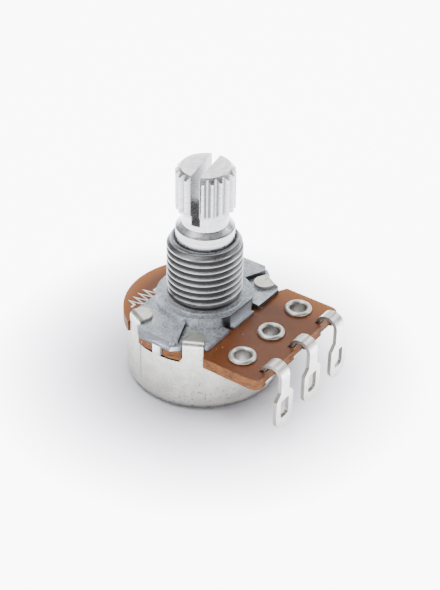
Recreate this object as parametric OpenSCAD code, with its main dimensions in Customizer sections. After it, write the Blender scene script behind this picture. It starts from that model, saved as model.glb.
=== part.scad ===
// Single-gang rotary potentiometer, 16 mm class, with a threaded die-cast bushing plate,
// a knurled split shaft, a phenolic wafer and three hooked solder terminals.
// Units are millimetres. Z runs up the shaft, the can's base is z = 0 and the
// terminals hang on the -Y side with their row along X.

/* [Can] */
// Outside diameter of the drawn can
can_d = 16.2; // [14:0.1:20]
// Height of the can's rim under the wafer
can_h = 6.4; // [5:0.1:12]
// Sheet thickness of the can and its tabs
can_wall = 0.35; // [0.25:0.05:0.6]
// Width of a folding tab
tab_w = 2.1; // [1.4:0.1:3]

/* [Wafer] */
// Diameter of the wafer's round part
wafer_d = 16.8; // [15:0.1:22]
// Thickness of the wafer
wafer_t = 1.2; // [0.8:0.1:2]
// Distance from the axis to the terminal edge
wafer_reach = 11.8; // [10:0.1:16]
// Distance between neighbouring terminals
pitch = 5; // [4:0.1:6]

/* [Terminals] */
// Distance from the eyelet row to the terminal edge
eyelet_edge = 3.48; // [3:0.02:4.5]
// Strip thickness
strip_t = 0.4; // [0.3:0.05:0.6]
// Strip width over the hook
strip_w = 1.4; // [1:0.1:1.8]
// Width of the solder lug
lug_w = 2.9; // [2:0.1:3.6]
// Height of the lug's tip above the can's base
lug_tip_z = 1.4; // [0.5:0.1:4]

/* [Bushing] */
// Outside diameter of the threaded barrel
thread_d = 7.8; // [6:0.1:10]
// Height of the barrel above the boss
thread_len = 6.84; // [4:0.02:12]
// Spacing of the thread's crests
thread_pitch = 0.75; // [0.5:0.05:1.25]
// Diameter of the boss at the thread's foot
boss_d = 9.96; // [9:0.02:13]
// Thickness of the raised wings
wing_t = 1.02; // [0.6:0.02:2]
// Thickness of the lower wings
low_wing_t = 0.48; // [0.4:0.02:1]
// Half width of the plate at its foot
plate_half_w = 8.6; // [7.5:0.1:11]

/* [Shaft] */
// Diameter of the control shaft
shaft_d = 6; // [4:0.1:6.4]
// Height of the shaft's tip above the can's base
shaft_top = 24.07; // [20:0.01:40]
// Length of the knurled end
knurl_len = 4.52; // [3:0.02:10]
// Number of knurl teeth
knurl_teeth = 20; // [12:1:40]
// Width of the slot across the knurl
slot_w = 0.95; // [0.6:0.05:1.4]
// Radial clearance between shaft and bore
bore_play = 0.05; // [0.02:0.01:0.1]

/* [Hidden] */
$fn = 96;

e = 0.01;

// levels
wafer_top = can_h + wafer_t;
wing_top = wafer_top + wing_t;
low_top = wafer_top + low_wing_t;
boss_top = wafer_top + 1.62;
thread_top = boss_top + thread_len;
knurl_z = shaft_top - knurl_len;
collar_z = thread_top + 1.24;
slot_z = knurl_z - 1.1;

// can
can_r = can_d / 2;
can_in = can_r - can_wall;
can_edge = 0.8;
side_rim = can_h - 0.45;
window_rim = can_h - 1.5;
window_half = 47;
front_tab_a = 28;
rear_tab_a = 24;
tab_fold_r = 0.2;
front_tab_len = 1.85;
rear_tab_len = 1.55;
tab_play = 0.1;
stop_half_a = 16.5;
stop_in = can_in - 0.85;
stop_top = 4.6;

// wafer
wafer_r = wafer_d / 2;
ear_half = 7.5;
ear_top = 4.75;
chord_x = 8.25;
notch_half = 1;
notch_deep = 0.27;
slot_back = wafer_reach - 0.88;
slot_half = 0.93;
wafer_hole = 3.65;
nub_y = -0.3;
nub_w = 0.94;
nub_in = 8.1;
layer_t = 0.08;

// terminals
eyelet_y = wafer_reach - eyelet_edge;
hook_back = slot_back + 0.03;
hook_r = 1.26;
hook_y = hook_back + hook_r;
hook_z = wafer_top - 0.16;
lug_front = hook_back + 2 * hook_r;
lug_len = 4.45;
lug_hole_w = 1.4;
lug_hole_z = lug_tip_z + 1.25;
lug_hole_h = 2.35;
pad_r = 1.45;
eyelet_r = 1.43;
eyelet_bore = 0.86;
eyelet_wall = 0.24;

// plate
boss_r = boss_d / 2;
boss_flat = 4.6;
plate_front = 5.05;
plate_rear = 4.2;
bar_half = 1.75;
bar_top = wafer_top + 0.25;
bore_r = shaft_d / 2 + bore_play;
thread_r = thread_d / 2;
thread_chamfer = 0.7;
foot_ring_t = 0.2;
groove_deep = 0.36;
crest_flat = 0.18;
groove_floor = 0.1;
groove_from = boss_top + foot_ring_t + 0.15;
groove_count = floor((thread_top - thread_chamfer - groove_from) / thread_pitch);
tab_seat = can_in - 0.05;

// rotor body
shaft_r = shaft_d / 2;
groove_z = wafer_top - 0.6;
clip_t = 0.5;
groove_r = 2.4;
clip_out = 3.4;
tail_r = 2.4;
tail_flat = 1.9;
tail_z = 2.6;
neck_r = 2.4;
root_r = 2.64;
rotor_z = 3.4;
rotor_t = 2;
rotor_r = 6.7;
rotor_lug_half = 12;
rotor_lug_out = can_in - 0.3;
track_in = 5.3;
track_out = 6.6;
ring_in = 3.85;
ring_out = 4.7;
wiper_t = 0.2;
wiper_gap = 0.05;
wiper_ring_r = 6.5;
finger_w = 0.8;
finger_len = 2.8;
slot_turn = 12.5;

module sector2d(half, a, r) {
    rotate(a)
        polygon([[0, 0], [r * cos(half), -r * sin(half)],
            [r * 1.2, 0], [r * cos(half), r * sin(half)]]);
}

module both_sides() {
    children();
    mirror([1, 0, 0]) children();
}

// Bushing plate

module plate_outline() {
    both_sides()
        polygon([[-e, -boss_flat + 0.6], [2.6, -boss_flat + 0.6], [2.6, -plate_front],
            [6.2, -plate_front], [7.1, -4.25], [7.8, -2.9], [plate_half_w, -2.0],
            [plate_half_w, 1.85], [6.7, plate_rear], [-e, plate_rear]]);
}

module raised_outline() {
    both_sides()
        polygon([[-e, 0.85], [7.72, -2.38], [plate_half_w, -1.72],
            [plate_half_w, 1.85], [6.7, plate_rear], [-e, plate_rear]]);
}

module tab_cut(a, seat) {
    rotate(a)
        translate([seat, -(tab_w / 2 + tab_play)])
            square([3, tab_w + 2 * tab_play]);
}

module all_tab_cuts(seat) {
    tab_cut(-front_tab_a, seat);
    tab_cut(180 + front_tab_a, seat);
    tab_cut(rear_tab_a, seat);
    tab_cut(180 - rear_tab_a, seat);
}

module draft_cut() {
    translate([plate_half_w, -6, wafer_top])
        rotate([0, -12.7, 0])
            translate([0, 0, -1])
                cube([3, 12, 4]);
}

// one thread groove in section, open outwards
module groove2d() {
    polygon([[0.1, 0], [0, 0], [-groove_deep, (thread_pitch - crest_flat - groove_floor) / 2],
        [-groove_deep, (thread_pitch - crest_flat + groove_floor) / 2],
        [0, thread_pitch - crest_flat], [0.1, thread_pitch - crest_flat]]);
}

module bushing_plate() {
    color([0.66, 0.68, 0.72])
    difference() {
        union() {
            difference() {
                union() {
                    translate([0, 0, wafer_top])
                        linear_extrude(low_wing_t)
                            plate_outline();
                    translate([0, 0, wafer_top])
                        linear_extrude(wing_t)
                            raised_outline();
                    translate([-bar_half, -plate_front, wafer_top])
                        cube([2 * bar_half, 1.2, bar_top - wafer_top]);
                }
                both_sides() draft_cut();
                translate([0, 0, wafer_top - 1])
                    linear_extrude(4)
                        all_tab_cuts(tab_seat);
            }
            // round boss with the flat that faces the terminals
            difference() {
                translate([0, 0, wafer_top])
                    cylinder(h = boss_top - wafer_top, r = boss_r);
                translate([-6, -boss_flat - 3, bar_top])
                    cube([12, 3, 4]);
                translate([bar_half, -boss_flat - 3, wafer_top - 1])
                    cube([0.85, 3, 4]);
                translate([-bar_half - 0.85, -boss_flat - 3, wafer_top - 1])
                    cube([0.85, 3, 4]);
            }
            // collar ring at the foot of the thread, then the barrel with its grooves
            translate([0, 0, boss_top - e])
                cylinder(h = foot_ring_t, r = thread_r + 0.4);
            rotate_extrude()
                difference() {
                    polygon([[bore_r - 0.5, boss_top - 1], [thread_r, boss_top - 1],
                        [thread_r, thread_top - thread_chamfer],
                        [thread_r - 0.5, thread_top], [bore_r - 0.5, thread_top]]);
                    for (i = [0 : groove_count - 1])
                        translate([thread_r, groove_from + i * thread_pitch])
                            groove2d();
                }
            // locating nubs that key into the wafer's edge
            both_sides()
                translate([nub_in, nub_y - nub_w / 2, can_h])
                    cube([plate_half_w - nub_in - 0.05, nub_w, wafer_t + 0.3]);
        }
        translate([0, 0, wafer_top - 1])
            cylinder(h = 12, r = bore_r);
    }
}

// Wafer and printed layers

module rounded_ear() {
    r1 = 0.9;
    r2 = 0.5;
    both_sides() {
        translate([ear_half - r1, -wafer_reach + r1]) circle(r1);
        translate([ear_half - r2, -ear_top - r2]) circle(r2);
    }
    translate([-ear_half + r1, -wafer_reach]) square([2 * (ear_half - r1), 3]);
    translate([-ear_half, -wafer_reach + r1])
        square([2 * ear_half, wafer_reach - ear_top - r1 - r2]);
    translate([-ear_half + r2, -ear_top - 2]) square([2 * (ear_half - r2), 2]);
}

module wafer_outline() {
    difference() {
        union() {
            intersection() {
                circle(wafer_r);
                translate([-chord_x, -ear_top - 1]) square([2 * chord_x, 20]);
            }
            rounded_ear();
        }
        circle(wafer_hole);
        all_tab_cuts(tab_seat);
        both_sides()
            translate([nub_in - 0.05, nub_y - nub_w / 2 - 0.1])
                square([2, nub_w + 0.2]);
        for (i = [-1, 0, 1])
            translate([i * pitch, 0]) {
                translate([0, -eyelet_y]) circle(eyelet_bore + eyelet_wall);
                translate([-notch_half, -wafer_reach - 1])
                    square([2 * notch_half, 1 + notch_deep]);
                translate([-slot_half, -slot_back - 0.47]) square([2 * slot_half, 0.47]);
            }
    }
}

module wafer() {
    color([0.58, 0.33, 0.2])
        translate([0, 0, can_h])
            linear_extrude(wafer_t)
                wafer_outline();
}

module layer() {
    translate([0, 0, can_h - layer_t])
        linear_extrude(layer_t)
            children();
}

module track_gap2d(half) {
    sector2d(half, -90, 12);
}

module carbon_track() {
    color([0.12, 0.12, 0.13])
        layer()
            difference() {
                circle(track_out);
                circle(track_in);
                track_gap2d(34);
            }
}

function polar(r, a) = [r * cos(a), r * sin(a)];

module pad2d() {
    difference() {
        union() {
            polygon([polar(track_in, -56), polar(track_out, -56),
                [pitch - 0.28 * pad_r, -eyelet_y + 0.91 * pad_r],
                [pitch - 0.83 * pad_r, -eyelet_y + 0.5 * pad_r],
                polar(track_out, -64), polar(track_out, -72), polar(track_in, -72),
                polar(track_in, -64)]);
            translate([pitch, -eyelet_y]) circle(pad_r + 0.1);
        }
        translate([pitch, -eyelet_y]) circle(eyelet_bore + eyelet_wall);
    }
}

module contact_pad_3() {
    color([0.8, 0.8, 0.78]) layer() pad2d();
}

module contact_pad_1() {
    color([0.8, 0.8, 0.78]) layer() mirror([1, 0]) pad2d();
}

module collector_ring() {
    color([0.8, 0.8, 0.78])
        layer()
            difference() {
                union() {
                    circle(ring_out);
                    translate([-0.6, -eyelet_y]) square([1.2, eyelet_y]);
                    translate([0, -eyelet_y]) circle(pad_r + 0.1);
                }
                circle(ring_in);
                translate([0, -eyelet_y]) circle(eyelet_bore + eyelet_wall);
            }
}

// Terminals and eyelets

// side view of the hook: rise through the wafer, half ring, straight drop
module hook2d() {
    translate([-hook_back - strip_t, can_h - layer_t - strip_t])
        square([strip_t, hook_z - can_h + layer_t + strip_t]);
    intersection() {
        translate([-hook_y, hook_z])
            difference() {
                circle(hook_r);
                circle(hook_r - strip_t);
            }
        translate([-hook_y - 3, hook_z]) square([6, 3]);
    }
    translate([-lug_front, lug_tip_z + lug_len - 1])
        square([strip_t, hook_z - lug_tip_z - lug_len + 1]);
}

// front view of the lug: sloped shoulders, straight sides, full round tip, eye
module lug2d() {
    tip_r = lug_w / 2;
    difference() {
        union() {
            translate([0, lug_tip_z + tip_r]) circle(tip_r);
            polygon([[-tip_r, lug_tip_z + tip_r], [tip_r, lug_tip_z + tip_r],
                [tip_r, lug_tip_z + lug_len - 0.75], [strip_w / 2, lug_tip_z + lug_len],
                [-strip_w / 2, lug_tip_z + lug_len], [-tip_r, lug_tip_z + lug_len - 0.75]]);
        }
        eye_r = 0.45;
        for (sx = [-1, 1])
            for (z = [lug_hole_z + eye_r, lug_hole_z + lug_hole_h - eye_r])
                translate([sx * (lug_hole_w / 2 - eye_r), z]) circle(eye_r);
        translate([-lug_hole_w / 2, lug_hole_z + eye_r])
            square([lug_hole_w, lug_hole_h - 2 * eye_r]);
        translate([-lug_hole_w / 2 + eye_r, lug_hole_z])
            square([lug_hole_w - 2 * eye_r, lug_hole_h]);
    }
}

module terminal() {
    // foot under the wafer with a round pad for the eyelet
    translate([0, 0, can_h - layer_t - strip_t])
        linear_extrude(strip_t)
            difference() {
                union() {
                    translate([0, -eyelet_y]) circle(pad_r);
                    translate([-strip_w / 2, -hook_back - strip_t])
                        square([strip_w, hook_back + strip_t - eyelet_y]);
                }
                translate([0, -eyelet_y]) circle(eyelet_bore + eyelet_wall);
            }
    translate([-strip_w / 2, 0, 0])
        rotate([90, 0, 90])
            linear_extrude(strip_w)
                hook2d();
    translate([0, -lug_front + strip_t, 0])
        rotate([90, 0, 0])
            linear_extrude(strip_t)
                lug2d();
}

module terminal_1() {
    color([0.86, 0.86, 0.84]) translate([-pitch, 0, 0]) terminal();
}

module terminal_2() {
    color([0.86, 0.86, 0.84]) terminal();
}

module terminal_3() {
    color([0.86, 0.86, 0.84]) translate([pitch, 0, 0]) terminal();
}

module eyelet() {
    tube_r = eyelet_bore + eyelet_wall;
    foot_z = can_h - layer_t - strip_t;
    roll = (eyelet_r - eyelet_bore) / 2;
    translate([0, -eyelet_y, 0])
        rotate_extrude() {
            translate([eyelet_bore, foot_z - 0.1])
                square([eyelet_wall, wafer_top - foot_z + 0.2]);
            intersection() {
                translate([eyelet_bore + roll, wafer_top + 0.1]) circle(roll);
                translate([0, wafer_top]) square([3, 3]);
            }
            intersection() {
                translate([eyelet_bore + roll, foot_z]) circle(roll);
                translate([0, foot_z - 3]) square([3, 3]);
            }
            translate([eyelet_bore, foot_z - 0.1]) square([0.1, 0.3]);
        }
}

module eyelet_1() {
    color([0.8, 0.8, 0.78]) translate([-pitch, 0, 0]) eyelet();
}

module eyelet_2() {
    color([0.8, 0.8, 0.78]) eyelet();
}

module eyelet_3() {
    color([0.8, 0.8, 0.78]) translate([pitch, 0, 0]) eyelet();
}

// Can

module can_shell() {
    rotate_extrude() {
        translate([0, 0]) square([can_r - can_edge, can_wall]);
        translate([can_in, can_edge]) square([can_wall, can_h - can_edge]);
        intersection() {
            translate([can_r - can_edge, can_edge])
                difference() {
                    circle(can_edge);
                    circle(can_edge - can_wall);
                }
            translate([can_r - can_edge, 0]) square([can_edge, can_edge]);
        }
    }
}

// side view of a tab: strip up the wall, tight fold, flat end lying on the wing
module tab2d(seat_z, len) {
    translate([can_in, can_edge + 1]) square([can_wall, seat_z - tab_fold_r - can_edge - 1]);
    intersection() {
        translate([can_in - tab_fold_r, seat_z - tab_fold_r])
            difference() {
                circle(tab_fold_r + can_wall);
                circle(tab_fold_r);
            }
        translate([can_in - tab_fold_r, seat_z - tab_fold_r]) square(2);
    }
    translate([can_in - len, seat_z]) square([len - tab_fold_r, can_wall]);
}

module tab(a, seat_z, len) {
    rotate([0, 0, a])
        intersection() {
            translate([0, tab_w / 2, 0])
                rotate([90, 0, 0])
                    linear_extrude(tab_w)
                        tab2d(seat_z, len);
            union() {
                translate([can_in - len + tab_w / 2, 0, 0]) cylinder(h = 12, r = tab_w / 2);
                translate([can_in - len + tab_w / 2, -tab_w / 2, 0]) cube([6, tab_w, 12]);
            }
        }
}

module cover() {
    color([0.82, 0.82, 0.8]) {
        difference() {
            can_shell();
            // window for the terminals
            translate([0, 0, window_rim])
                linear_extrude(5)
                    track_gap2d(window_half);
            // lower rim between the front and rear tabs
            for (s = [0, 180])
                translate([0, 0, side_rim])
                    linear_extrude(5)
                        sector2d(18.5, s, 12);
        }
        tab(-front_tab_a, low_top, front_tab_len);
        tab(180 + front_tab_a, low_top, front_tab_len);
        tab(rear_tab_a, wing_top, rear_tab_len);
        tab(180 - rear_tab_a, wing_top, rear_tab_len);
        // stop block pressed inward from the wall
        translate([0, 0, can_wall - e])
            linear_extrude(stop_top - can_wall + e)
                intersection() {
                    difference() {
                        circle(can_in + 0.1);
                        circle(stop_in);
                    }
                    track_gap2d(stop_half_a);
                }
    }
}

// Rotating parts

module knurl2d() {
    step = 360 / knurl_teeth;
    polygon([for (i = [0 : knurl_teeth * 4 - 1])
        let (a = (floor(i / 4) + [-0.12, 0.12, 0.38, 0.62][i % 4]) * step + slot_turn + 90,
             r = i % 4 < 2 ? shaft_r : root_r)
        [r * cos(a), r * sin(a)]]);
}

module shaft() {
    color([0.84, 0.84, 0.83])
    difference() {
        union() {
            rotate_extrude()
                polygon([[0, rotor_z + rotor_t], [shaft_r, rotor_z + rotor_t], [shaft_r, collar_z],
                    [neck_r, collar_z + 0.54], [neck_r, knurl_z + 0.2], [0, knurl_z + 0.2]]);
            // flatted tail that carries the rotor, with its staked head
            intersection() {
                translate([0, 0, tail_z + 0.4])
                    cylinder(h = rotor_z + rotor_t - tail_z, r = tail_r);
                translate([-tail_flat, -5, 0]) cube([2 * tail_flat, 10, 10]);
            }
            translate([0, 0, tail_z]) cylinder(h = rotor_z - tail_z, r = tail_r + 0.3);
            intersection() {
                translate([0, 0, knurl_z])
                    linear_extrude(knurl_len)
                        knurl2d();
                rotate_extrude()
                    polygon([[0, knurl_z - 1], [shaft_r + 0.1, knurl_z - 1],
                        [shaft_r + 0.1, shaft_top - 0.6], [shaft_r - 0.5, shaft_top],
                        [0, shaft_top]]);
            }
        }
        // groove for the retaining clip
        translate([0, 0, groove_z])
            difference() {
                cylinder(h = clip_t, r = shaft_r + 1);
                translate([0, 0, -1]) cylinder(h = clip_t + 2, r = groove_r);
            }
        rotate([0, 0, slot_turn])
            translate([-5, -slot_w / 2, slot_z])
                cube([10, slot_w, 10]);
    }
}

module retaining_clip() {
    color([0.5, 0.5, 0.52])
        translate([0, 0, groove_z])
            linear_extrude(clip_t)
                difference() {
                    circle(clip_out);
                    circle(groove_r);
                    translate([-1.5, -5]) square([3, 5]);
                }
}

module rotor() {
    color([0.2, 0.2, 0.22])
        difference() {
            union() {
                translate([0, 0, rotor_z]) cylinder(h = rotor_t, r = rotor_r);
                translate([0, 0, rotor_z])
                    linear_extrude(stop_top - rotor_z)
                        intersection() {
                            circle(rotor_lug_out);
                            sector2d(rotor_lug_half, 90, 12);
                        }
            }
            translate([0, 0, rotor_z - 1])
                linear_extrude(rotor_t + 2)
                    intersection() {
                        circle(tail_r);
                        translate([-tail_flat, -5]) square([2 * tail_flat, 10]);
                    }
        }
}

// spring ring on the rotor with a raised finger on the track and one on the collector
module wiper_spring() {
    base_z = rotor_z + rotor_t;
    tip_z = can_h - layer_t - wiper_gap;
    color([0.78, 0.6, 0.3]) {
        translate([0, 0, base_z])
            linear_extrude(wiper_t)
                difference() {
                    circle(wiper_ring_r);
                    circle(shaft_r + 0.15);
                }
        for (g = [[track_in, track_out, 90], [ring_in, ring_out, -90]])
            rotate([0, 0, g[2]])
                translate([(g[0] + g[1] - finger_w) / 2, 0, 0])
                    rotate([90, 0, 90])
                        linear_extrude(finger_w)
                            polygon([[-finger_len, base_z], [-finger_len + finger_w, base_z],
                                [0, tip_z - wiper_t],
                                [wiper_t * 2, tip_z - wiper_t * 1.5],
                                [wiper_t * 2, tip_z - wiper_t / 2],
                                [wiper_t / 2, tip_z], [-wiper_t / 2, tip_z],
                                [-finger_len + finger_w - wiper_t / 2, base_z + wiper_t],
                                [-finger_len, base_z + wiper_t]]);
    }
}

bushing_plate();
wafer();
carbon_track();
collector_ring();
contact_pad_1();
contact_pad_3();
terminal_1();
terminal_2();
terminal_3();
eyelet_1();
eyelet_2();
eyelet_3();
cover();
shaft();
retaining_clip();
rotor();
wiper_spring();
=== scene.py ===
"""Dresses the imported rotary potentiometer: threaded casting, finishes, print mark, stage."""

import math

import bmesh
import bpy
from bpy.props import (
    FloatProperty,
    FloatVectorProperty,
    IntProperty,
    PointerProperty,
)
from mathutils import Matrix, Vector


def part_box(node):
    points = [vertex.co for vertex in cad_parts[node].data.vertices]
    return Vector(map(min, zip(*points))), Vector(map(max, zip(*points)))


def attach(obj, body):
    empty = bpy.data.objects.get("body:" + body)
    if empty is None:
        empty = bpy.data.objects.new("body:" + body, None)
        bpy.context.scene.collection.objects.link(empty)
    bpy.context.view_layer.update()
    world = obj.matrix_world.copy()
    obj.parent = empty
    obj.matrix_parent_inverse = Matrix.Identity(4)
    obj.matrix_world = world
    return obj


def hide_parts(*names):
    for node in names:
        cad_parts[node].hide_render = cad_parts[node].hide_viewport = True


bl_info = {
    "name": "Rotary Potentiometer Dressing",
    "version": (1, 0, 0),
    "blender": (4, 5, 0),
    "location": "3D View > Sidebar > Potentiometer",
    "description": "Threaded casting, plated metal, laminate and stage for a rotary potentiometer",
    "category": "Object",
}

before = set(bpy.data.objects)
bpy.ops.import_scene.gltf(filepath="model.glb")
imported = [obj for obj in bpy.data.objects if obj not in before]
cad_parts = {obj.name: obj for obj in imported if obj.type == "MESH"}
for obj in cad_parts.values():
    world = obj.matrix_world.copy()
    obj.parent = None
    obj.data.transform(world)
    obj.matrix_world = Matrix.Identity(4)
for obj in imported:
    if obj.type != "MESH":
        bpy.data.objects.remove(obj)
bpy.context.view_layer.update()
MM = 0.001

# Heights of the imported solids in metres
WAFER_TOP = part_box("wafer")[1].z
CASTING_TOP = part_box("bushing_plate")[1].z

# Places in millimetres where the finishes change and where shade is painted, at the bore's mouth
# and in the knurl's flutes
MOUTH_R, MOUTH_Z = 3.14, CASTING_TOP / MM
KNURL_FOOT, KNURL_ROOT, KNURL_CREST = 19.55, 2.66, 2.95


# Sizes and colours a user may change


class PotThread(bpy.types.PropertyGroup):
    """Sizes of the rolled thread on the bushing"""

    crest_r: FloatProperty(
        name="Crest radius",
        description="Radius over the thread's crests",
        default=3.9 * MM,
        unit="LENGTH",
        precision=6,
    )
    depth: FloatProperty(
        name="Depth",
        description="Depth from crest to root",
        default=0.46 * MM,
        unit="LENGTH",
        precision=6,
    )
    pitch: FloatProperty(
        name="Pitch",
        description="Rise of the thread in one turn",
        default=0.75 * MM,
        unit="LENGTH",
        precision=6,
    )
    foot: FloatProperty(
        name="Foot height",
        description="Height of the collar ring that the thread starts from",
        default=9.41 * MM,
        unit="LENGTH",
        precision=6,
    )
    chamfer: FloatProperty(
        name="Top chamfer",
        description="Height of the chamfer at the top of the bushing",
        default=0.7 * MM,
        unit="LENGTH",
        precision=6,
    )
    sides: IntProperty(
        name="Sides",
        description="Points round one turn of the thread",
        default=160,
        min=32,
        max=256,
    )


class PotColours(bpy.types.PropertyGroup):
    """Base colours of the finishes"""

    zinc: FloatVectorProperty(
        name="Zinc",
        description="Die-cast zinc",
        default=(0.30, 0.32, 0.345),
        subtype="COLOR",
    )
    laminate: FloatVectorProperty(
        name="Laminate",
        description="Phenolic paper laminate, middle tone",
        default=(0.125, 0.036, 0.008),
        subtype="COLOR",
    )
    laminate_edge: FloatVectorProperty(
        name="Laminate edge",
        description="Cut and far edges of the laminate",
        default=(0.40, 0.13, 0.018),
        subtype="COLOR",
    )
    silver: FloatVectorProperty(
        name="Plating",
        description="Silver plating of the terminals and eyelets",
        default=(0.58, 0.565, 0.52),
        subtype="COLOR",
    )
    can: FloatVectorProperty(
        name="Can",
        description="Plated steel of the can",
        default=(0.48, 0.475, 0.43),
        subtype="COLOR",
    )
    shaft: FloatVectorProperty(
        name="Shaft",
        description="Turned light alloy of the shaft",
        default=(0.52, 0.52, 0.52),
        subtype="COLOR",
    )
    ink: FloatVectorProperty(
        name="Ink",
        description="Printed mark on the laminate",
        default=(0.92, 0.88, 0.84),
        subtype="COLOR",
    )


class PotStage(bpy.types.PropertyGroup):
    """Camera, floor and light"""

    lens: FloatProperty(
        name="Lens",
        description="Focal length on a 36 mm frame",
        default=85.977,
        unit="CAMERA",
    )
    distance: FloatProperty(
        name="Camera distance",
        description="From the aim point to the camera",
        default=0.14525,
        unit="LENGTH",
    )
    azimuth: FloatProperty(
        name="Azimuth",
        description="Turn of the camera round the object",
        default=math.radians(-54.85),
        subtype="ANGLE",
    )
    elevation: FloatProperty(
        name="Elevation",
        description="Height of the camera above the horizon",
        default=math.radians(35.07),
        subtype="ANGLE",
    )
    roll: FloatProperty(
        name="Roll",
        description="Turn of the camera about its own view",
        default=math.radians(1.01),
        subtype="ANGLE",
    )
    key_power: FloatProperty(
        name="Key light",
        description="Power of the overhead light, which the others are shares of",
        default=0.42,
        unit="POWER",
    )
    floor: FloatVectorProperty(
        name="Floor",
        description="Colour of the floor",
        default=(0.84, 0.84, 0.90),
        subtype="COLOR",
    )
    # Painted light: the floor glows away from the object and leaves an unglowing ring round it.
    floor_glow: FloatProperty(
        name="Floor glow",
        description="Light of the back-lit paper away from the object",
        default=10.0,
        min=0,
    )
    glow_from: FloatProperty(
        name="Glow from",
        description="Distance from the shaft's axis where the paper starts to glow",
        default=8 * MM,
        unit="LENGTH",
        precision=6,
    )
    glow_to: FloatProperty(
        name="Glow to",
        description="Distance from the shaft's axis where the paper glows fully",
        default=24 * MM,
        unit="LENGTH",
        precision=6,
    )


def thread_sizes():
    """The thread's settings"""
    return bpy.context.scene.pot_thread


def colours():
    """The finishes' base colours"""
    return bpy.context.scene.pot_colours


def stage_sizes():
    """The stage's settings"""
    return bpy.context.scene.pot_stage


# Material building


class Finish:
    """One procedural material, with short ways to add the nodes it needs"""

    def __init__(self, name, colour, metallic, roughness):
        self.mat = bpy.data.materials.new(name)
        self.mat.use_nodes = True
        self.tree = self.mat.node_tree
        self.shader = self.tree.nodes["Principled BSDF"]
        self.shader.inputs["Base Color"].default_value = (*colour, 1)
        self.shader.inputs["Metallic"].default_value = metallic
        self.shader.inputs["Roughness"].default_value = roughness
        self.place = self.tree.nodes.new("ShaderNodeTexCoord")

    def add(self, kind):
        return self.tree.nodes.new(kind)

    def link(self, a, b):
        self.tree.links.new(a, b)

    def where(self, stretch=(1, 1, 1)):
        """Object position in millimetres, stretched along the axes"""
        node = self.add("ShaderNodeMapping")
        node.inputs["Scale"].default_value = [s / MM for s in stretch]
        self.link(self.place.outputs["Object"], node.inputs["Vector"])
        return node.outputs["Vector"]

    def noise(self, size, detail=6, rough=0.55, stretch=(1, 1, 1)):
        """Cloudy noise with features of a size in millimetres"""
        node = self.add("ShaderNodeTexNoise")
        node.inputs["Scale"].default_value = 1 / size
        node.inputs["Detail"].default_value = detail
        node.inputs["Roughness"].default_value = rough
        self.link(self.where(stretch), node.inputs["Vector"])
        return node.outputs["Fac"]

    def specks(self, size, stretch=(1, 1, 1)):
        """Distance to the nearest of many scattered points"""
        node = self.add("ShaderNodeTexVoronoi")
        node.inputs["Scale"].default_value = 1 / size
        self.link(self.where(stretch), node.inputs["Vector"])
        return node.outputs["Distance"]

    def span(self, value, low, high, to_low=0.0, to_high=1.0):
        """Maps one range onto another and clamps it"""
        node = self.add("ShaderNodeMapRange")
        node.clamp = True
        node.inputs["From Min"].default_value = low
        node.inputs["From Max"].default_value = high
        node.inputs["To Min"].default_value = to_low
        node.inputs["To Max"].default_value = to_high
        self.link(value, node.inputs["Value"])
        return node.outputs["Result"]

    def calc(self, kind, a, b):
        """One arithmetic step between sockets or numbers"""
        node = self.add("ShaderNodeMath")
        node.operation = kind
        for socket, value in zip(node.inputs, (a, b)):
            if isinstance(value, (int, float)):
                socket.default_value = value
            else:
                self.link(value, socket)
        return node.outputs["Value"]

    def blend(self, factor, a, b):
        """Mixes two colours, given as sockets or as tuples"""
        node = self.add("ShaderNodeMix")
        node.data_type = "RGBA"
        self.link(factor, node.inputs["Factor"])
        for socket, value in zip((node.inputs[6], node.inputs[7]), (a, b)):
            if isinstance(value, bpy.types.NodeSocket):
                self.link(value, socket)
            else:
                socket.default_value = (*value[:3], 1)
        return node.outputs[2]

    def axis(self, name):
        """Position along one axis in millimetres"""
        node = self.add("ShaderNodeSeparateXYZ")
        self.link(self.where(), node.inputs["Vector"])
        return node.outputs[name]

    def radius(self):
        """Distance from the shaft's axis in millimetres"""
        node = self.add("ShaderNodeVectorMath")
        node.operation = "LENGTH"
        self.link(self.where((1, 1, 0)), node.inputs[0])
        return node.outputs["Value"]

    def facing(self, name):
        """How far the surface faces along one axis"""
        node = self.add("ShaderNodeNewGeometry")
        split = self.add("ShaderNodeSeparateXYZ")
        self.link(node.outputs["Normal"], split.inputs["Vector"])
        return split.outputs[name]

    def up_facing(self):
        return self.facing("Z")

    def edge_pointiness(self):
        """High on outward edges and low in corners"""
        return self.add("ShaderNodeNewGeometry").outputs["Pointiness"]

    def colour(self, value):
        self.link(value, self.shader.inputs["Base Color"])

    def roughness(self, value):
        self.link(value, self.shader.inputs["Roughness"])

    def bump(self, height, depth, strength=1.0):
        node = self.add("ShaderNodeBump")
        node.inputs["Distance"].default_value = depth
        node.inputs["Strength"].default_value = strength
        self.link(height, node.inputs["Height"])
        self.link(node.outputs["Normal"], self.shader.inputs["Normal"])


def shade(colour, k):
    """A colour made darker or lighter by a factor"""
    return tuple(min(1.0, c * k) for c in colour)


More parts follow.
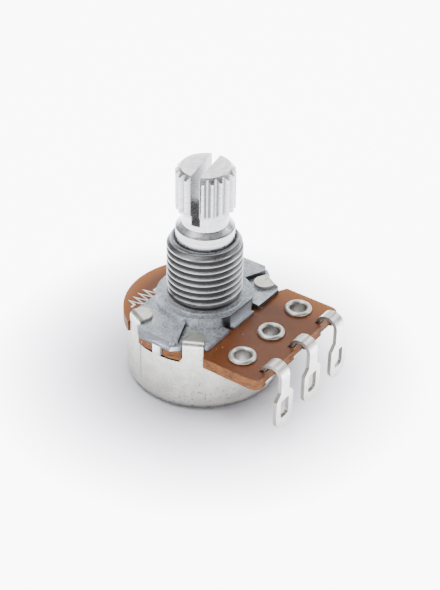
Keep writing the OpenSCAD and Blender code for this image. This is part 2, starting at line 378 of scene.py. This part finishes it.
def cast_zinc():
    """Mottled blue-grey casting, with painted shade on its sides and at the bore's mouth and a
    painted highlight on its outward edges
    """
    base = colours().zinc
    f = Finish("zinc_casting", base, 0.82, 0.42)
    cloud = f.span(f.noise(0.9, 6, 0.6), 0.36, 0.66)
    grain = f.span(f.noise(0.2, 4, 0.7), 0.36, 0.64)
    mixed = f.calc("ADD", f.calc("MULTIPLY", cloud, 0.3), f.calc("MULTIPLY", grain, 0.7))
    mottle_and_shade = f.blend(mixed, shade(base, 0.5), shade(base, 1.9))
    # Painted shade: faces that do not face up are painted darker than the tops.
    mottle_and_shade = f.blend(f.span(f.up_facing(), 0.25, 0.7), shade(base, 0.22), mottle_and_shade)
    # Painted shade: a dark ring where the bore's mouth meets the shaft.
    mouth = f.span(f.radius(), MOUTH_R, MOUTH_R + 0.2, 0.9, 0.0)
    mouth = f.calc("MULTIPLY", mouth, f.span(f.axis("Z"), MOUTH_Z - 0.2, MOUTH_Z - 0.1))
    mottle_and_shade = f.blend(mouth, mottle_and_shade, shade(base, 0.04))
    # Painted highlight: the outward edges are painted brighter.
    edge_highlight = f.span(f.edge_pointiness(), 0.58, 0.8)
    f.colour(f.blend(edge_highlight, mottle_and_shade, shade(base, 1.9)))
    f.roughness(f.span(f.noise(0.4, 5), 0.3, 0.7, 0.38, 0.6))
    f.bump(f.noise(0.16, 6, 0.6), 0.03 * MM, 0.8)
    return f.mat


def thread_zinc():
    """Painted highlight on the crests over painted shade in the roots, with a ragged edge between
    """
    base = colours().zinc
    sizes = thread_sizes()
    f = Finish("zinc_thread", base, 0.9, 0.3)
    crest = sizes.crest_r / MM
    noisy_radius = f.calc("ADD", f.radius(), f.calc("MULTIPLY", f.noise(0.35, 5), 0.12))
    # Painted shade in the thread's roots and a painted highlight on its crests, set by radius.
    height = f.span(noisy_radius, crest - 0.14, crest + 0.08)
    grey = sum(base) / 3
    f.colour(f.blend(height, (grey * 0.3,) * 3, (grey * 1.3,) * 3))
    f.roughness(f.span(f.noise(0.4, 5), 0.3, 0.7, 0.26, 0.5))
    f.bump(f.noise(0.2, 5, 0.6), 0.04 * MM, 0.9)
    return f.mat


def laminate():
    """Paper laminate: red-brown face, orange fibrous cut edges, pale dust specks"""
    c = colours()
    f = Finish("phenolic_laminate", c.laminate, 0.0, 0.4)
    f.shader.inputs["Specular IOR Level"].default_value = 0.22
    face = f.blend(
        f.span(f.noise(1.6, 5), 0.3, 0.7), shade(c.laminate, 0.9), shade(c.laminate, 1.12)
    )
    rim = f.span(f.radius(), 6.6, 8.5)
    far = f.span(f.axis("X"), 4.0, 8.0)
    dim = f.span(f.axis("Y"), 0.0, 9.0)
    edge = f.calc("MAXIMUM", f.calc("MULTIPLY", rim, dim), f.calc("MULTIPLY", far, 0.75))
    face = f.blend(edge, face, c.laminate_edge)
    fibre = f.blend(
        f.span(f.noise(0.35, 6, 0.7, (0.5, 0.5, 2.5)), 0.35, 0.7),
        shade(c.laminate_edge, 0.05),
        shade(c.laminate_edge, 0.45),
    )
    side = f.span(f.up_facing(), 0.5, 0.8)
    both = f.blend(side, fibre, face)
    dust = f.span(f.specks(0.9), 0.035, 0.05)
    f.colour(f.blend(dust, (0.75, 0.62, 0.5), both))
    f.roughness(f.span(f.up_facing(), 0.5, 0.8, 0.7, 0.42))
    f.bump(f.noise(0.3, 5, 0.6), 0.01 * MM, 0.4)
    return f.mat


def painted_shade_mask(f, place):
    """Where a plated piece is painted with shade: on the faces that point along X, in a bore, or
    towards the foot
    """
    if place == "cut edges":
        return f.span(f.calc("ABSOLUTE", f.facing("X"), 0), 0.5, 0.8, 0.0, 0.8)
    if place == "bore":
        return f.span(f.up_facing(), 0.15, 0.6, 0.55, 0.0)
    return f.span(f.axis("Z"), 0.15, 0.9, 0.75, 0.0)


def plated(name, base, rough, marks, shade_place):
    """Satin plating with soft scratches, painted shade in one place and a few dark pits"""
    f = Finish(name, base, 0.9, rough)
    cloud = f.blend(f.span(f.noise(1.2, 6), 0.35, 0.7), shade(base, 0.86), shade(base, 1.1))
    lines = f.span(f.noise(0.5, 3, 0.5, (0.25, 2.2, 2.2)), 0.6, 0.65)
    cloud = f.blend(f.calc("MULTIPLY", lines, marks), cloud, shade(base, 0.55))
    # Painted shade at the place given by the last argument.
    cloud = f.blend(painted_shade_mask(f, shade_place), cloud, shade(base, 0.3))
    patch = f.span(f.noise(2.6, 2), 0.52, 0.6, 0.0, 0.07)
    pits = f.span(f.calc("SUBTRACT", f.specks(0.8, (0.6, 0.6, 1.4)), patch), 0.0, 0.05)
    f.colour(f.blend(pits, shade(base, 0.22), cloud))
    f.roughness(f.span(f.noise(0.6, 5), 0.3, 0.7, rough - 0.06, rough + 0.1))
    f.bump(f.noise(0.25, 5, 0.6), 0.008 * MM, 0.5)
    return f.mat


def turned_alloy():
    """Turned bright alloy: fine rings round the shaft, small dark pits, and painted shade in the
    knurl's flutes and on the sides
    """
    base = colours().shaft
    f = Finish("turned_alloy", base, 0.85, 0.3)
    rings = f.noise(0.12, 2, 0.5, (0.02, 0.02, 1.0))
    cloud = f.blend(f.span(rings, 0.38, 0.62), shade(base, 0.62), shade(base, 1.15))
    # Painted shade in the knurl's flutes.
    flute_shade = f.span(f.radius(), KNURL_ROOT, KNURL_CREST, 1.0, 0.0)
    flute_shade = f.calc("MULTIPLY", flute_shade, f.span(f.axis("Z"), KNURL_FOOT, KNURL_FOOT + 0.2))
    flute_shade = f.calc("MULTIPLY", flute_shade, f.span(f.up_facing(), 0.3, 0.5, 0.85, 0.0))
    cloud = f.blend(flute_shade, cloud, shade(base, 0.34))
    # Painted shade: faces that do not face up are painted darker than the top.
    cloud = f.blend(f.span(f.up_facing(), 0.3, 0.7, 0.6, 0.0), cloud, shade(base, 0.45))
    pits = f.span(f.specks(0.5), 0.06, 0.12)
    f.colour(f.blend(pits, shade(base, 0.2), cloud))
    f.roughness(f.span(f.noise(0.5, 5), 0.3, 0.7, 0.22, 0.38))
    f.bump(f.calc("ADD", rings, f.calc("MULTIPLY", f.noise(0.2, 5), 0.6)), 0.01 * MM, 0.5)
    return f.mat


def plain_finish(name, base, metallic, rough):
    """Quiet finish for the inner pieces, with slight mottling"""
    f = Finish(name, base, metallic, rough)
    f.colour(f.blend(f.span(f.noise(0.8, 5), 0.3, 0.7), shade(base, 0.85), shade(base, 1.15)))
    f.bump(f.noise(0.3, 4), 0.006 * MM, 0.4)
    return f.mat


# Helpers for pieces


def dress(names, mat):
    """Gives CAD nodes a finish through their own material slots"""
    for name in names:
        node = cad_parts[name]
        for slot in node.material_slots:
            slot.link = "OBJECT"
            slot.material = mat


def soften(names, width, angle=38):
    """Rounds the sharp edges of CAD nodes with modifiers"""
    for name in names:
        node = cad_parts[name]
        flat = node.modifiers.new("flat faces", "DECIMATE")
        flat.decimate_type = "DISSOLVE"
        flat.angle_limit = math.radians(2)
        edge = node.modifiers.new("soft edges", "BEVEL")
        edge.width = width
        edge.segments = 2
        edge.limit_method = "ANGLE"
        edge.angle_limit = math.radians(angle)
        edge.harden_normals = True


def smooth(mesh, angle=38):
    """Shades a mesh smooth up to its sharp edges"""
    mesh.shade_smooth()
    mesh.set_sharp_from_angle(angle=math.radians(angle))


def add_piece(name, mesh, body):
    """Adds a mesh as a piece that rides a body"""
    piece = bpy.data.objects.new(name, mesh)
    bpy.context.scene.collection.objects.link(piece)
    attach(piece, body)
    return piece


# Casting with its thread


def thread_radius(z, angle, sizes, top):
    """Radius of the bushing wall at a height and angle"""
    run_out = 0.5 * MM
    phase = (z / sizes.pitch - angle / (2 * math.pi)) % 1.0
    flank = abs(2 * phase - 1)
    tooth = min(1.0, max(0.0, (flank - 0.1) / 0.78))
    root = sizes.crest_r - sizes.depth
    start = min(1.0, max(0.0, (z - sizes.foot - 0.25 * MM) / run_out))
    r = root + sizes.depth * (tooth * start)
    collar = min(1.0, max(0.0, 1 - (z - sizes.foot) / (0.12 * MM)))
    r += (sizes.crest_r - r) * collar
    lip = top - z
    return min(r, sizes.crest_r - 0.5 * MM + 0.5 * MM * min(1.0, lip / sizes.chamfer))


def is_barrel_wall(face, sizes, top):
    """Tells the grooved outer wall of the barrel from its bore and its end"""
    centre = face.calc_center_median()
    r = math.hypot(centre.x, centre.y)
    return r > 3.25 * MM and sizes.foot + 0.02 * MM < centre.z < top - 0.01 * MM


def casting_mesh():
    """The casting's CAD mesh with its ring-grooved barrel wall swapped for a helix"""
    sizes = thread_sizes()
    top = CASTING_TOP
    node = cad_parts["bushing_plate"]
    bm = bmesh.new()
    bm.from_mesh(node.data)
    bmesh.ops.remove_doubles(bm, verts=bm.verts, dist=1e-7)
    wall = [f for f in bm.faces if is_barrel_wall(f, sizes, top)]
    if not wall:
        raise RuntimeError("the barrel wall was not found in the casting")
    bmesh.ops.delete(bm, geom=wall, context="FACES")
    bmesh.ops.dissolve_limit(
        bm, angle_limit=math.radians(1), verts=bm.verts, edges=bm.edges
    )
    sharp = math.radians(35)
    edges = [e for e in bm.edges if e.is_manifold and e.calc_face_angle() > sharp]
    bmesh.ops.bevel(
        bm, geom=edges, offset=0.06 * MM, segments=2, affect="EDGES", clamp_overlap=True
    )
    for f in bm.faces:
        f.smooth = True
        f.material_index = 0
    rows = int((top - sizes.foot) / (0.045 * MM))
    turn = [2 * math.pi * i / sizes.sides for i in range(sizes.sides)]
    rings = []
    for j in range(rows + 1):
        z = sizes.foot + (top - sizes.foot) * j / rows
        ring = []
        for a in turn:
            r = thread_radius(z, a, sizes, top)
            ring.append(bm.verts.new((r * math.cos(a), r * math.sin(a), z)))
        rings.append(ring)
    for low, high in zip(rings, rings[1:]):
        for i in range(sizes.sides):
            k = (i + 1) % sizes.sides
            face = bm.faces.new((low[i], low[k], high[k], high[i]))
            face.smooth = True
            face.material_index = 1
    mesh = bpy.data.meshes.new("bushing_casting")
    bm.to_mesh(mesh)
    bm.free()
    mesh.set_sharp_from_angle(angle=math.radians(38))
    return mesh


# Printed mark


def ribbon(points, width):
    """Left and right edges of a mitred stroke through plan points"""
    left, right = [], []
    for i, p in enumerate(points):
        before = points[max(0, i - 1)]
        after = points[min(len(points) - 1, i + 1)]
        d1 = (p - before).normalized() if i else (after - p).normalized()
        d2 = (after - p).normalized() if i < len(points) - 1 else d1
        normal = (d1 + d2).normalized().orthogonal()
        stretch = 1 / max(0.4, abs(normal.dot(d1.orthogonal())))
        left.append(p + normal * width / 2 * stretch)
        right.append(p - normal * width / 2 * stretch)
    return left, right


def mark_mesh(z):
    """Zigzag sign for a resistor, printed on the laminate"""
    lift = 0.015 * MM
    start, middle, half, step, strokes = -4.2, 5.7, 0.8, 0.4, 8
    lead_far, lead_near = 0.8, 0.25
    end = start + (strokes - 1) * step
    teeth = [(start - lead_far, middle), (start - lead_near, middle)]
    for i in range(strokes):
        teeth.append((start + i * step, middle + half * (-1 if i % 2 else 1)))
    teeth += [(end + lead_near, middle), (end + lead_far, middle)]
    points = [Vector(p) * MM for p in teeth]
    left, right = ribbon(points, 0.24 * MM)
    bm = bmesh.new()
    rows = []
    for l, r in zip(left, right):
        rows.append([bm.verts.new((p.x, p.y, h)) for p, h in
                     ((l, z), (r, z), (r, z + lift), (l, z + lift))])
    for a, b in zip(rows, rows[1:]):
        for i in range(4):
            k = (i + 1) % 4
            bm.faces.new((a[i], b[i], b[k], a[k]))
    bm.faces.new(rows[0])
    bm.faces.new(rows[-1][::-1])
    bmesh.ops.recalc_face_normals(bm, faces=bm.faces)
    mesh = bpy.data.meshes.new("print_mark")
    bm.to_mesh(mesh)
    bm.free()
    return mesh


def ink_finish():
    """Pale matt ink with rubbed patches"""
    base = colours().ink
    f = Finish("print_ink", base, 0.0, 0.6)
    f.colour(f.blend(f.span(f.noise(0.25, 6, 0.7), 0.35, 0.6), shade(base, 0.72), base))
    f.bump(f.noise(0.1, 4), 0.005 * MM, 0.5)
    return f.mat


# Operators


class POT_OT_casting(bpy.types.Operator):
    """Builds the bushing casting with its helical thread"""

    bl_idname = "pot.casting"
    bl_label = "Threaded casting"

    def execute(self, context):
        mesh = casting_mesh()
        mesh.materials.append(cast_zinc())
        mesh.materials.append(thread_zinc())
        piece = add_piece("bushing_casting", mesh, "housing")
        flat = piece.modifiers.new("flat faces stay flat", "WEIGHTED_NORMAL")
        flat.keep_sharp = True
        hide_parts("bushing_plate")
        return {"FINISHED"}


class POT_OT_wafer(bpy.types.Operator):
    """Finishes the laminate wafer and the layers printed under it"""

    bl_idname = "pot.wafer"
    bl_label = "Laminate wafer"

    def execute(self, context):
        dress(["wafer"], laminate())
        soften(["wafer"], 0.06 * MM)
        dress(["carbon_track"], plain_finish("carbon_print", (0.03, 0.03, 0.032), 0.0, 0.55))
        prints = plain_finish("silver_print", (0.55, 0.54, 0.52), 0.6, 0.5)
        dress(["collector_ring", "contact_pad_1", "contact_pad_3"], prints)
        return {"FINISHED"}


class POT_OT_print_mark(bpy.types.Operator):
    """Prints the plain zigzag mark on the wafer"""

    bl_idname = "pot.print_mark"
    bl_label = "Printed mark"

    def execute(self, context):
        mesh = mark_mesh(WAFER_TOP)
        mesh.materials.append(ink_finish())
        add_piece("print_mark", mesh, "housing")
        return {"FINISHED"}


class POT_OT_terminals(bpy.types.Operator):
    """Finishes the hooked terminals and their eyelets"""

    bl_idname = "pot.terminals"
    bl_label = "Terminals and eyelets"

    def execute(self, context):
        silver = colours().silver
        hooks = [f"terminal_{i}" for i in (1, 2, 3)]
        rings = [f"eyelet_{i}" for i in (1, 2, 3)]
        # The terminals' cut edges and the eyelets' bores get painted shade.
        dress(hooks, plated("silver_plating", silver, 0.36, 0.6, "cut edges"))
        dress(rings, plated("eyelet_plating", silver, 0.34, 0.4, "bore"))
        soften(hooks, 0.05 * MM)
        for name in rings + hooks:
            smooth(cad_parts[name].data)
        return {"FINISHED"}


class POT_OT_can(bpy.types.Operator):
    """Finishes the drawn can and its folded tabs"""

    bl_idname = "pot.can"
    bl_label = "Can"

    def execute(self, context):
        # The can is painted darker towards its foot, a painted shade.
        dress(["cover"], plated("can_plating", colours().can, 0.36, 1.0, "foot"))
        smooth(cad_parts["cover"].data)
        soften(["cover"], 0.05 * MM)
        return {"FINISHED"}


class POT_OT_shaft(bpy.types.Operator):
    """Finishes the knurled shaft"""

    bl_idname = "pot.shaft"
    bl_label = "Knurled shaft"

    def execute(self, context):
        dress(["shaft"], turned_alloy())
        smooth(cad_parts["shaft"].data)
        soften(["shaft"], 0.05 * MM)
        return {"FINISHED"}


class POT_OT_inner(bpy.types.Operator):
    """Finishes the rotor, its wiper and the retaining clip"""

    bl_idname = "pot.inner"
    bl_label = "Inner pieces"

    def execute(self, context):
        dress(["rotor"], plain_finish("rotor_plastic", (0.05, 0.05, 0.055), 0.0, 0.5))
        dress(["wiper_spring"], plain_finish("spring_bronze", (0.62, 0.42, 0.2), 0.9, 0.35))
        dress(["retaining_clip"], plain_finish("clip_steel", (0.3, 0.3, 0.32), 0.9, 0.4))
        for name in ("rotor", "wiper_spring", "retaining_clip"):
            smooth(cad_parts[name].data)
        return {"FINISHED"}


# Name, share of the key power, width and height, place
LAMPS = (
    ("overhead", 1.0, (0.12, 0.12), (-0.03, 0.05, 0.2)),
    ("left_fill", 0.25, (0.08, 0.14), (-0.2, 0.02, 0.10)),
    ("right_fill", 0.2, (0.06, 0.14), (0.12, -0.18, 0.09)),
    ("back_sheen", 0.25, (0.10, 0.06), (0.115, 0.08, 0.115)),
    ("hook_sheen", 0.3, (0.08, 0.08), (0.134, -0.052, 0.139)),
)
LAMP_AIM = (0, -0.002, 0.008)


def area_light(name, power, size, spot, aim):
    """A rectangular lamp that faces the aim point"""
    data = bpy.data.lights.new(name, "AREA")
    data.energy = power
    data.shape = "RECTANGLE"
    data.size, data.size_y = size
    lamp = bpy.data.objects.new(name, data)
    lamp.location = spot
    lamp.rotation_mode = "QUATERNION"
    lamp.rotation_quaternion = (Vector(aim) - Vector(spot)).to_track_quat("-Z", "Y")
    bpy.context.scene.collection.objects.link(lamp)
    return lamp


def studio_world():
    """A dim upper sky over a bright horizon, like the wall of a light tent"""
    world = bpy.data.worlds.new("studio")
    world.use_nodes = True
    tree = world.node_tree
    sky = tree.nodes["Background"]
    sky.inputs["Color"].default_value = (0.92, 0.94, 1.0, 1)
    place = tree.nodes.new("ShaderNodeTexCoord")
    split = tree.nodes.new("ShaderNodeSeparateXYZ")
    fall = tree.nodes.new("ShaderNodeMapRange")
    fall.inputs["From Min"].default_value = 0.03
    fall.inputs["From Max"].default_value = 0.22
    fall.inputs["To Min"].default_value = 5.0
    fall.inputs["To Max"].default_value = 0.12
    tree.links.new(place.outputs["Generated"], split.inputs["Vector"])
    tree.links.new(split.outputs["Z"], fall.inputs["Value"])
    tree.links.new(fall.outputs["Result"], sky.inputs["Strength"])
    return world


def add_camera(sizes):
    """The camera that took the photograph, from a fit to the object's known circles"""
    a, e, roll = sizes.azimuth, sizes.elevation, sizes.roll
    back = Vector((math.sin(a) * math.cos(e), -math.cos(a) * math.cos(e), math.sin(e)))
    right = Vector((math.cos(a), math.sin(a), 0))
    up = back.cross(right)
    side = math.cos(roll) * right + math.sin(roll) * up
    head = math.cos(roll) * up - math.sin(roll) * right
    aim = Vector((0, 0, 8.769 * MM)) + right * 1.594 * MM
    spot = aim + back * sizes.distance
    turn = Matrix((side, head, back)).transposed().to_4x4()
    data = bpy.data.cameras.new("camera")
    data.lens = sizes.lens
    data.sensor_width = 36
    data.clip_start = 0.005
    data.clip_end = 20
    camera = bpy.data.objects.new("camera", data)
    camera.matrix_world = Matrix.Translation(spot) @ turn
    bpy.context.scene.collection.objects.link(camera)
    bpy.context.scene.camera = camera


def add_floor(sizes):
    """A wide pale floor just under the can, painted with a glow that rises away from the object"""
    half = 1.5
    drop = -0.01 * MM
    corners = [(-half, -half, drop), (half, -half, drop), (half, half, drop), (-half, half, drop)]
    mesh = bpy.data.meshes.new("floor")
    mesh.from_pydata(corners, [], [(0, 1, 2, 3)])
    f = Finish("pale_floor", sizes.floor, 0.0, 0.7)
    f.colour(f.blend(f.span(f.noise(9, 3), 0.3, 0.7), shade(sizes.floor, 0.985), sizes.floor))
    f.shader.inputs["Emission Color"].default_value = (*sizes.floor, 1)
    # Painted light: the floor glows more with distance from the shaft's axis.
    rise = f.span(f.radius(), sizes.glow_from / MM, sizes.glow_to / MM)
    glow = f.calc("MULTIPLY", f.calc("POWER", rise, 1.5), sizes.floor_glow)
    f.link(glow, f.shader.inputs["Emission Strength"])
    mesh.materials.append(f.mat)
    floor = bpy.data.objects.new("floor", mesh)
    bpy.context.scene.collection.objects.link(floor)


class POT_OT_stage(bpy.types.Operator):
    """Sets the camera, the pale floor and the soft studio lights"""

    bl_idname = "pot.stage"
    bl_label = "Stage"

    def execute(self, context):
        sizes = stage_sizes()
        add_camera(sizes)
        add_floor(sizes)
        for name, share, size, spot in LAMPS:
            area_light(name, sizes.key_power * share, size, spot, LAMP_AIM)
        context.scene.world = studio_world()
        return {"FINISHED"}


STEPS = (
    POT_OT_casting,
    POT_OT_wafer,
    POT_OT_print_mark,
    POT_OT_terminals,
    POT_OT_can,
    POT_OT_shaft,
    POT_OT_inner,
    POT_OT_stage,
)


class POT_PT_panel(bpy.types.Panel):
    """Lists the steps that dress the potentiometer"""

    bl_idname = "POT_PT_panel"
    bl_label = "Potentiometer"
    bl_space_type = "VIEW_3D"
    bl_region_type = "UI"
    bl_category = "Potentiometer"

    def draw(self, context):
        for step in STEPS:
            self.layout.operator(step.bl_idname)
        for group in (thread_sizes(), colours(), stage_sizes()):
            for key in group.__annotations__:
                self.layout.prop(group, key)


CLASSES = (PotThread, PotColours, PotStage, *STEPS, POT_PT_panel)


def register():
    for cls in CLASSES:
        bpy.utils.register_class(cls)
    bpy.types.Scene.pot_thread = PointerProperty(type=PotThread)
    bpy.types.Scene.pot_colours = PointerProperty(type=PotColours)
    bpy.types.Scene.pot_stage = PointerProperty(type=PotStage)


def unregister():
    del bpy.types.Scene.pot_stage
    del bpy.types.Scene.pot_colours
    del bpy.types.Scene.pot_thread
    for cls in reversed(CLASSES):
        bpy.utils.unregister_class(cls)


def main():
    register()
    for step in STEPS:
        group, name = step.bl_idname.split(".")
        getattr(getattr(bpy.ops, group), name)()


if __name__ == "__main__":
    main()
